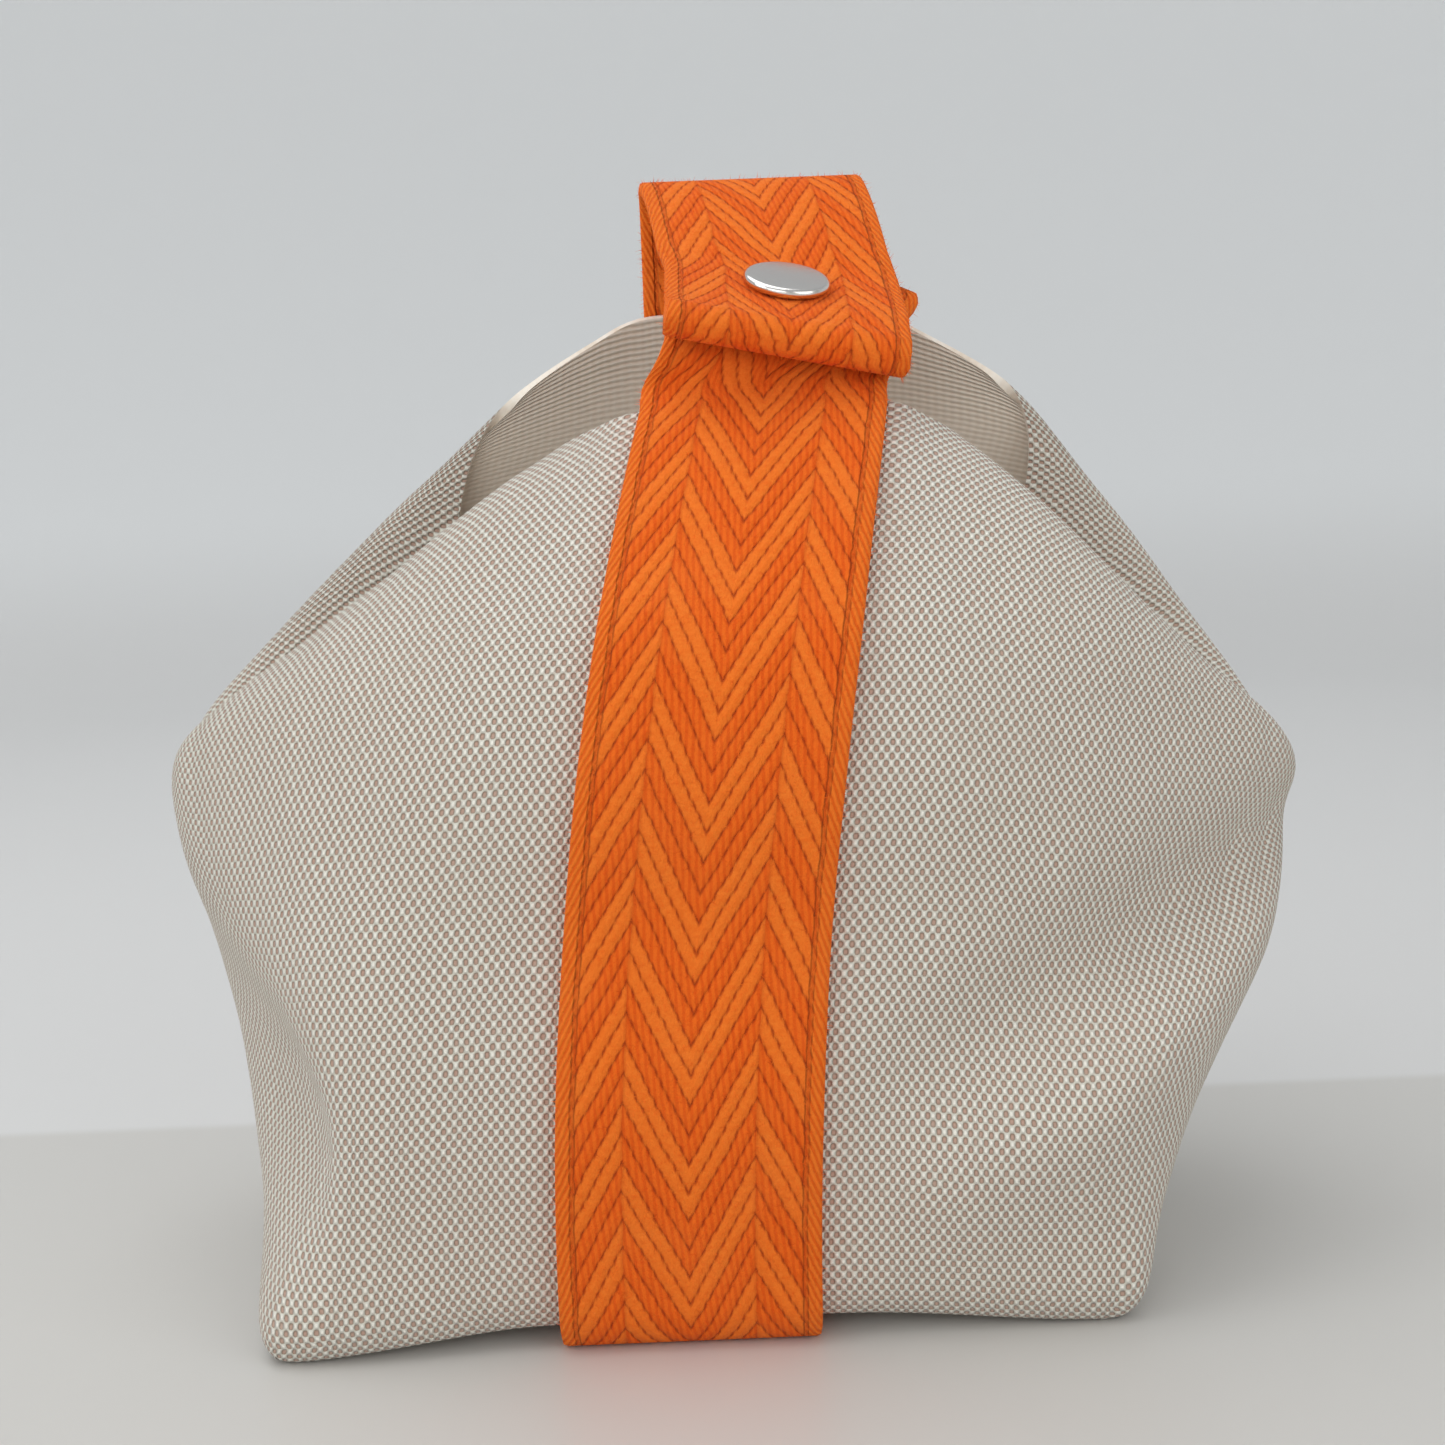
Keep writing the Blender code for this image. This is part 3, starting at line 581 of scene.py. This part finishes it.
def strap_stations():
    """The strap from the flap's end, over the crest, down the back, under the base and up the
    front to the inner end. Also the middle of the outer layer where the snap goes through it."""
    levels = wall_levels()
    profile = [back_middle(up) for up in reversed(levels)]
    profile += [Vector((0, profile[-1].y * (1 - k / 4), 0)) for k in range(1, 8)]
    profile += [front_middle(up) for up in levels]
    profile = [p + Vector((0, 0, base_lift(0, p.z))) for p in profile]
    wrap = moved_out(profile, SEAT_GAP + STRAP_THICK / 2)
    half = STRAP_THICK / 2
    slope = slope_of(SNAP_SLOPE)
    above = Vector((0, -slope.z, slope.y))
    snap = wrap[-1] + Vector((0, SNAP_BACK, SNAP_RISE))
    inner_snap = snap - above * (STRAP_THICK + LAYER_GAP)
    flat = SHANK_RADIUS * 3

    flap = [
        (FLAP_END, 0.0, 2.0), (FLAP_END - half * 0.3, 0.9, 2.9), (FLAP_END - half, 1.3, 3.3),
        (FLAP_END - HEM * 0.5, 1.4, 3.4), (FLAP_END - HEM * 0.8, 1.15, 3.3), (FLAP_END - HEM, 1, 2.9),
        (FLAP_END - HEM - half / 4, 1, 1), (flat * 1.4, 1, 1),
    ]
    stations = []
    for reach, over, under in flap:
        twist = SNAP_TWIST + (1 - SNAP_TWIST) * smooth((reach - flat) / (FLAP_END - flat))
        stations.append(Station(flap_point(snap, reach), HANDLE_DRIFT, twist, half * over, half * under))
    stations += [
        Station(snap + slope * reach, HANDLE_DRIFT, SNAP_TWIST, half, half) for reach in (-flat, 0, flat)
    ]
    climb = slope_of(CREST_SLOPE)
    crest = snap + Vector((0, CREST_BACK, CREST_RISE))
    bend = (crest - stations[-1].middle).length * 0.4
    rise = Vector((0, CREST_ROUND * 0.29, CREST_ROUND * 0.98))
    over = bezier(stations[-1].middle, stations[-1].middle + slope * bend, crest - climb * bend, crest, 4)
    over += [crest] + bezier(crest, crest + climb * CREST_ROUND, wrap[0] + rise, wrap[0], BEND_STEPS)
    for k, point in enumerate(over, 1):
        left = 1 - smooth(k / (BEND_STEPS / 2 + 4))
        stations.append(Station(point, HANDLE_DRIFT * left, SNAP_TWIST * left, half, half))
    stations += [Station(p, 0, 0, half, half) for p in wrap]
    leave = (wrap[-1] - wrap[-2]).normalized()
    start = inner_snap - slope * flat
    apex = bezier(wrap[-1], wrap[-1] + leave * APEX_ROUND, start - slope * APEX_ROUND, start, 6)
    for k, point in enumerate(apex, 1):
        gone = smooth(k / 6)
        stations.append(Station(point, HANDLE_DRIFT * gone, SNAP_TWIST * gone, half, half))
    for reach in (-flat, 0, flat):
        stations.append(Station(inner_snap + slope * reach, HANDLE_DRIFT, SNAP_TWIST, half, half))
    inner_end = inner_snap + slope * INNER_END + above * INNER_LIFT
    stations.append(Station(inner_end, HANDLE_DRIFT + INNER_SKEW, SNAP_TWIST, half, half))
    return stations, snap


def strap_place(station, run):
    """Where a station's middle really lies, its width direction and its outward direction."""
    middle = station.middle + Vector((lean(station.middle.z) + station.drift, 0, 0))
    turn = Matrix.Rotation(HANDLE_TWIST * station.twist, 3, run)
    across = turn @ Vector((1, 0, 0))
    return middle, across, across.cross(run)


STRAP_CUTS = 30
STRAP_STEP = 0.0014
HEM_OVER = 1.4  # in half thicknesses, from the middle line up to the turned-in end's upper face
HEM_UNDER = 3.4  # and down to its lower face
EDGE_ROUND = 0.0010
FIBRES = 60000
FIBRE_LENGTH = (0.0004, 0.0016)
FIBRE_WIDTH = 0.00009
FIBRE_FLOOR = 0.004  # none grows below this height, where it would reach into the floor
END_CORNER = 0.0045  # radius of the inner end's corners


def resampled(stations, step):
    """The stations at even steps on a smooth curve, each with its distance from the flap's end."""
    lengths = [0.0]
    for a, b in zip(stations, stations[1:]):
        lengths.append(lengths[-1] + (b.middle - a.middle).length)
    fine = []
    last = len(stations) - 1
    for i in range(last):
        span = lengths[i + 1] - lengths[i]
        before, after = stations[max(0, i - 1)], stations[min(last, i + 2)]
        start_run = (stations[i + 1].middle - before.middle).normalized() * span
        end_run = (after.middle - stations[i].middle).normalized() * span
        count = max(1, round(span / step))
        for k in range(count + (i == last - 1)):
            s = k / count
            middle = hermite(stations[i].middle, stations[i + 1].middle, start_run, end_run, s)
            rest = [a + (b - a) * s for a, b in zip(stations[i][1:], stations[i + 1][1:])]
            fine.append((lengths[i] + span * s, Station(middle, *rest)))
    return fine


def hem_faces(reach):
    """How far the turned-in end's upper and lower faces are from the middle line, this far in."""
    half = STRAP_THICK / 2
    over, under = half * HEM_OVER, half * HEM_UNDER
    roll, centre = (over + under) / 2, (over - under) / 2
    if reach < roll:
        tall = roll * math.sqrt(1 - (1 - reach / roll) ** 2)
        return centre + tall, tall - centre
    flatter = smooth((reach - HEM * 0.55) / (HEM * 0.45))
    ended = smooth((reach - HEM) / (half * 0.5))
    return over + (half - over) * flatter, under + (half - under) * ended


def ribbon_ring(over, under):
    """The webbing's outline across its width: two flat faces and two rounded edges."""
    half, middle = STRAP_WIDTH / 2, (over - under) / 2
    flat, inset = half - EDGE_ROUND, EDGE_ROUND * 0.3
    ring = [(-flat + 2 * flat * k / STRAP_CUTS, over) for k in range(STRAP_CUTS + 1)]
    right = [(half - inset, over - inset), (half, middle), (half - inset, inset - under)]
    ring += right
    ring += [(-x, -under) for x, _ in ring[:STRAP_CUTS + 1]]
    ring += [(-x, y) for x, y in reversed(right)]
    return ring


def fibres(points, across_uv, along_uv, quads):
    """Loose fibres: thin triangles standing out of the webbing, each with its root's place on it."""
    chance = random.Random(11)
    hairs = []
    for _ in range(FIBRES):
        a, b, c, d = chance.choice(quads)
        s, t = chance.random(), chance.random()
        lean = Vector((chance.gauss(0, 1), chance.gauss(0, 1), chance.gauss(0, 1)))
        reach = chance.uniform(*FIBRE_LENGTH)
        if points[a].z < FIBRE_FLOOR:
            continue
        root = points[a].lerp(points[b], s).lerp(points[d].lerp(points[c], s), t)
        outward = (points[c] - points[a]).cross(points[d] - points[b]).normalized()
        tip = root + (outward + lean).normalized() * reach
        side = (tip - root).cross(lean).normalized() * FIBRE_WIDTH / 2
        hairs.append((len(points), len(points) + 1, len(points) + 2))
        points += [root - side, root + side, tip]
        across_uv += [across_uv[a] + (across_uv[c] - across_uv[a]) * s] * 3
        along_uv += [along_uv[a] + (along_uv[c] - along_uv[a]) * t] * 3
    return hairs


def make_strap():
    """The ribbon, with the way across it and the way along its upper face as its UV map."""
    fine = resampled(strap_stations()[0], STRAP_STEP)
    start = fine[0][1]
    inward = (fine[1][1].middle - start.middle).normalized()
    reaches = (0.00003, 0.00010, 0.00025)
    fine = [(reach, start._replace(middle=start.middle + inward * reach)) for reach in reaches] + fine[1:]
    points, across_uv, along_uv = [], [], []
    way, was = 0.0, None
    for i, (reach, station) in enumerate(fine):
        before, after = fine[max(0, i - 1)][1], fine[min(len(fine) - 1, i + 1)][1]
        middle, across, outward = strap_place(station, (after.middle - before.middle).normalized())
        over, under = hem_faces(reach) if reach < HEM * 1.3 else (station.over, station.under)
        upper = middle + outward * over
        way += (upper - was).length if was else 0.0
        was = upper
        ring = ribbon_ring(over, under)
        short = max(0.0, 1 - (fine[-1][0] - reach) / END_CORNER)
        narrow = 1 - (1 - math.sqrt(1 - short ** 2)) * END_CORNER / (STRAP_WIDTH / 2)
        points += [middle + across * x * narrow + outward * y for x, y in ring]
        across_uv += [x for x, y in ring]
        level = (over - under) / 2 if reach < HEM * 1.3 else -1.0
        along_uv += [-way if y < level else way for x, y in ring]
    size = len(ring)
    sides = ring_faces_of(len(fine), size)
    faces = sides + end_faces(0, True) + end_faces(len(points) - size, False)
    faces += fibres(points, across_uv, along_uv, sides)
    cloth = [[(across_uv[v], along_uv[v]) for v in face] for face in faces]
    return mesh_piece("webbing", points, faces, cloth=cloth)


def ring_faces_of(rings, size):
    """Quads between one ring of points and the next, facing outwards."""
    return [
        (r * size + k, r * size + (k + 1) % size, (r + 1) * size + (k + 1) % size, (r + 1) * size + k)
        for r in range(rings - 1)
        for k in range(size)
    ]


def end_faces(base, flipped):
    """Faces that close one end of the webbing, from its upper points to the lower ones."""
    last = 2 * STRAP_CUTS + 4
    faces = [(k, k + 1, last - k - 1, last - k) for k in range(STRAP_CUTS)]
    faces += [tuple(range(STRAP_CUTS, STRAP_CUTS + 5)), (last, last + 1, last + 2, last + 3, 0)]
    return [tuple(base + v for v in (reversed(face) if flipped else face)) for face in faces]


REPEAT = 0.0203  # of the chevrons, along the webbing
ARM_SLOPE = 1.9  # how much further along than across an arm runs
PEAK_AT = 0.0112  # from the webbing's middle to where the arms turn
EDGE_AT = 0.0196  # where the plain ribbed edge starts
DASH = 0.0011  # between the dark dashes in one line
TWILL = 0.00115  # between the ribs of the smoother bands
EDGE_RIB = 0.0011  # between the ribs of the plain edge


def webbing_material():
    """Chevron webbing: pairs of fuzzy raised ribs and of deeper, smoother bands on four slanting
    arms, the outer arms half a repeat behind the inner ones, between two plain ribbed edges."""
    n = Nodes("webbing")
    uv = n.add("ShaderNodeUVMap", uv_map="cloth").outputs[0]
    uneven = n.shaken(n.shaken(uv, 160.0, 0.0007), 700.0, 0.0004)
    place = n.add("ShaderNodeSeparateXYZ", {0: uneven})
    x, along = place.outputs[0], place.outputs[1]
    out = n.math("ABSOLUTE", x)
    is_outer = n.math("GREATER_THAN", out, PEAK_AT)
    near_peak = n.math("ABSOLUTE", n.math("SUBTRACT", out, PEAK_AT))
    climb = n.math("MULTIPLY", n.math("SUBTRACT", PEAK_AT, near_peak), ARM_SLOPE)
    phase = n.math("DIVIDE", n.math("SUBTRACT", climb, along), REPEAT)
    quarter = n.math("MULTIPLY", n.math("FRACT", n.math("MULTIPLY_ADD", is_outer, 0.5, phase)), 4.0)
    is_light = n.math("LESS_THAN", quarter, 2.0)
    within = n.math("FRACT", quarter)
    from_line = n.math("SUBTRACT", 0.5, n.math("ABSOLUTE", n.math("SUBTRACT", within, 0.5)))
    dash = n.math("SINE", n.math("MULTIPLY", out, 2 * math.pi / DASH))
    line = n.math("MULTIPLY", n.ramp(from_line, 0.03, 0.20, 1.0, 0.0), n.ramp(dash, -0.6, 0.5, 0.25, 1.0))
    line = n.math("MAXIMUM", line, n.ramp(near_peak, 0.0001, 0.0006, 0.35, 0.0))
    fuzz = n.noise(uv, 900.0, 4.0, 0.75)
    stretched = n.add("ShaderNodeVectorMath", {0: uv, 1: (1.0, 0.35, 1.0)}, operation="MULTIPLY").outputs[0]
    fibre = n.noise(stretched, 2600.0, 2.0, 0.6)
    twill = n.math("SINE", n.math("MULTIPLY", n.math("MULTIPLY_ADD", along, 0.12, x), 2 * math.pi / TWILL))
    fuzzy = n.mix(n.ramp(fuzz, 0.30, 0.70), (0.940, 0.210, 0.023, 1), (0.880, 0.165, 0.015, 1))
    smooth_band = n.mix(n.ramp(twill, -0.9, 0.6), (0.790, 0.110, 0.008, 1), (0.890, 0.150, 0.012, 1))
    banded = n.mix(is_light, smooth_band, fuzzy)
    bands = n.mix(n.math("MULTIPLY", line, 0.70), banded, (0.440, 0.036, 0.003, 1))
    slanted = n.math("MULTIPLY_ADD", along, 0.45, out)
    edge_rib = n.math("SINE", n.math("MULTIPLY", slanted, 2 * math.pi / EDGE_RIB))
    edge = n.mix(n.ramp(edge_rib, -1.0, 0.2), (0.800, 0.120, 0.009, 1), (0.950, 0.200, 0.020, 1))
    is_edge = n.math("GREATER_THAN", out, EDGE_AT)
    groove = n.ramp(n.math("ABSOLUTE", n.math("SUBTRACT", out, EDGE_AT)), 0.0002, 0.0006, 1.0, 0.0)
    woven = n.mix(n.math("MULTIPLY", groove, 0.45), n.mix(is_edge, bands, edge), (0.560, 0.060, 0.005, 1))
    wear = n.ramp(n.noise(uv, 60.0, 3.0, 0.6), 0.40, 0.85, 0.0, 0.15)
    worn = n.mix(wear, woven, (0.960, 0.270, 0.050, 1))
    round_rib = n.math("POWER", n.math("MULTIPLY", from_line, 2.0), 0.5)
    rib = n.math("MULTIPLY_ADD", is_light, 0.30, n.math("MULTIPLY", round_rib, 0.45))
    edge_height = n.math("MULTIPLY_ADD", edge_rib, 0.12, 0.5)
    relief = n.add("ShaderNodeMix", {0: is_edge, 2: rib, 3: edge_height}, data_type="FLOAT")
    height = n.math("SUBTRACT", relief.outputs[0], n.math("MULTIPLY", groove, 0.5))
    height = n.math("MULTIPLY_ADD", fuzz, 0.20, height)
    height = n.math("MULTIPLY_ADD", fibre, 0.12, height)
    return n.finish(Base_Color=worn, Roughness=0.9, Sheen_Weight=0.12, Sheen_Tint=(1.0, 0.45, 0.20, 1),
                    Specular_IOR_Level=0.15, Normal=n.bump(height, 0.0011))


webbing = make_strap()
webbing.data.materials.append(webbing_material())
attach(webbing, "root")
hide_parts("strap")


# Press snap. The real one is a plain domed cap of polished metal riveted through the outer layer,
# over a stud on the inner layer. The cap is turned with a rolled rim, its shank and socket
# behind it; the stud is the solid's own, in the same metal.

CAP_RADIUS = 0.0081
CAP_THICK = 0.0019
SOCKET_RADIUS = 0.0052


def snap_place():
    """The snap's own frame: its middle in the outer layer, and its axis out of the webbing."""
    snap = strap_stations()[1]
    station = Station(snap, HANDLE_DRIFT, SNAP_TWIST, 0, 0)
    middle, across, outward = strap_place(station, slope_of(SNAP_SLOPE))
    turned = Matrix((across, outward.cross(across), outward)).transposed().to_4x4()
    return Matrix.Translation(middle) @ turned


def plate(name, radius, low, high, rim, place):
    """A round plate with rolled edges, on the snap's axis."""
    bpy.ops.object.select_all(action="DESELECT")
    middle = place @ Vector((0, 0, (low + high) / 2))
    bpy.ops.mesh.primitive_cylinder_add(
        vertices=96, radius=radius, depth=high - low, location=middle, rotation=place.to_euler()
    )
    piece = bpy.context.object
    piece.name = name
    bpy.ops.object.transform_apply(location=True, rotation=True, scale=True)
    applied(piece, "BEVEL", width=rim, segments=6, limit_method="ANGLE", angle_limit=math.radians(40))
    piece.data.shade_smooth()
    piece.data.set_sharp_from_angle(angle=math.radians(40))
    return piece


def snap_metal():
    """Polished metal with faint hairline scratches."""
    n = Nodes("snap_metal")
    scratch = n.noise(n.add("ShaderNodeTexCoord").outputs["Object"], 2500.0, 3.0, 0.7)
    roughness = n.ramp(scratch, 0.3, 0.8, 0.16, 0.26)
    return n.finish(Base_Color=(0.80, 0.78, 0.75, 1), Metallic=1.0, Roughness=roughness)


place = snap_place()
half = STRAP_THICK / 2
cap_low = half + SEAT_GAP
cap = plate("cap", CAP_RADIUS, cap_low, cap_low + CAP_THICK, 0.0009, place)
socket = plate("socket", SOCKET_RADIUS, -half - SEAT_GAP - SOCKET_THICK, -half - SEAT_GAP, 0.0003, place)
shank = plate("shank", SHANK_RADIUS, -half - SEAT_GAP, cap_low + CAP_THICK * 0.5, 0.0001, place)
for piece in (socket, shank, cap):
    piece.select_set(True)
bpy.context.view_layer.objects.active = cap
bpy.ops.object.join()
stud = nodes["snap_stud"]
for piece in (cap, stud):
    piece.data.materials.clear()
    piece.data.materials.append(snap_metal())
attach(cap, "root")
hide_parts("snap_cap")


# The stage: a pale floor that sweeps up into a pale wall all round, a broad soft light above, one
# in front, one on each side and a light sky. None of it belongs to the case.

def make_stage():
    """A round floor whose rim turns up into a wall."""
    rows = [(0.0, 0.0), (0.5, 0.0), (0.9, 0.0)]
    for k in range(1, 16):
        turn = math.radians(6 * k)
        rows.append((0.9 + 0.8 * math.sin(turn), 0.8 - 0.8 * math.cos(turn)))
    rows.append((1.7, 1.4))
    sides = 96
    turns = [(math.cos(2 * math.pi * k / sides), math.sin(2 * math.pi * k / sides)) for k in range(sides)]
    points = [Vector((0, 0, 0))] + [Vector((r * c, r * s, z)) for r, z in rows[1:] for c, s in turns]
    faces = [(0, 1 + k, 1 + (k + 1) % sides) for k in range(sides)]
    for r in range(len(rows) - 2):
        for k in range(sides):
            j = (k + 1) % sides
            low, high = 1 + r * sides, 1 + (r + 1) * sides
            faces.append((low + k, high + k, high + j, low + j))
    return mesh_piece("stage", points, faces)


def stage_material():
    """Matt board, warmer under the case, cooler behind it and paler up the wall."""
    n = Nodes("stage")
    at = n.add("ShaderNodeSeparateXYZ", {0: n.add("ShaderNodeTexCoord").outputs["Object"]})
    behind = n.ramp(at.outputs[1], 0.066, 0.072)
    wall = n.mix(n.ramp(at.outputs[2], 0.0, 0.12), (0.740, 0.740, 0.735, 1), (0.870, 0.885, 0.890, 1))
    return n.finish(Base_Color=n.mix(behind, (0.640, 0.630, 0.605, 1), wall), Roughness=0.38)


stage = make_stage()
stage.data.materials.append(stage_material())


def soft_light(name, size, power, at, aim):
    """A square area light at a place, turned to shine at another."""
    lamp = bpy.data.lights.new(name, "AREA")
    lamp.size = size
    lamp.energy = power
    lamp_object = bpy.data.objects.new(name, lamp)
    lamp_object.location = at
    lamp_object.rotation_euler = (Vector(aim) - Vector(at)).to_track_quat("-Z", "Y").to_euler()
    bpy.context.scene.collection.objects.link(lamp_object)


soft_light("above", 1.2, 6.5, (-0.30, 0.05, 1.30), (0, 0, 0.05))
soft_light("front", 1.1, 5.2, (-0.45, -1.25, 0.42), (0, 0, 0.12))
soft_light("left", 0.6, 2.2, (-0.90, -0.45, 0.70), (0, 0, 0.10))
soft_light("right", 0.9, 3.2, (0.85, -0.75, 0.50), (0, 0, 0.10))
world = bpy.data.worlds.new("sky")
world.use_nodes = True
world.node_tree.nodes["Background"].inputs[0].default_value = (0.95, 0.975, 1.0, 1)
world.node_tree.nodes["Background"].inputs[1].default_value = 0.46
bpy.context.scene.world = world
bpy.context.scene.view_settings.view_transform = "Standard"

# The camera stands where the photograph was taken from: a little above the handle's height,
# close in front, tipped down and turned slightly on its side.
camera_data = bpy.data.cameras.new("camera")
camera_data.sensor_width = 36.0
camera_data.lens = 36.0 * 1950 / 1445
camera_data.clip_start = 0.01
camera = bpy.data.objects.new("camera", camera_data)
camera.matrix_world = (
    Matrix.Translation((0.0096, -0.3715, 0.1525))
    @ Matrix.Rotation(math.radians(82), 4, "X")
    @ Matrix.Rotation(math.radians(-2.4), 4, "Z")
)
bpy.context.scene.collection.objects.link(camera)
bpy.context.scene.camera = camera
